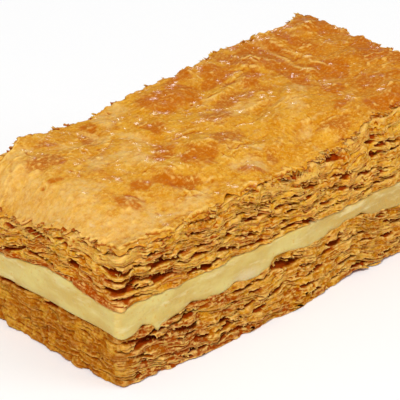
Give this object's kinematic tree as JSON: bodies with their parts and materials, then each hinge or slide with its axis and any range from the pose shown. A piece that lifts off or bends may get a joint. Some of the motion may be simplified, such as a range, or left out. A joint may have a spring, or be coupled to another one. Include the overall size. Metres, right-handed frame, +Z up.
{
  "type": "mille feuille slice",
  "caption": "Rectangular slice of mille feuille: flaky lower pastry, a layer of set custard and a taller flaky upper pastry with an uneven glazed crust.",
  "frame": {"origin": "middle of the flat underside, centred in plan", "axes": "+X along the slice, +Y from the near long side to the back, +Z up"},
  "size_m": [0.1274, 0.0618, 0.0476],
  "materials": {
    "plain_pastry": "matt, dry and crumbly",
    "custard": "smooth, satin",
    "glazed_pastry": "glazed crust over matt flaky leaves"
  },
  "bodies": {
    "root": {"pastry_bottom": "plain_pastry", "custard": "custard", "pastry_top": "glazed_pastry"}
  },
  "joints": []
}
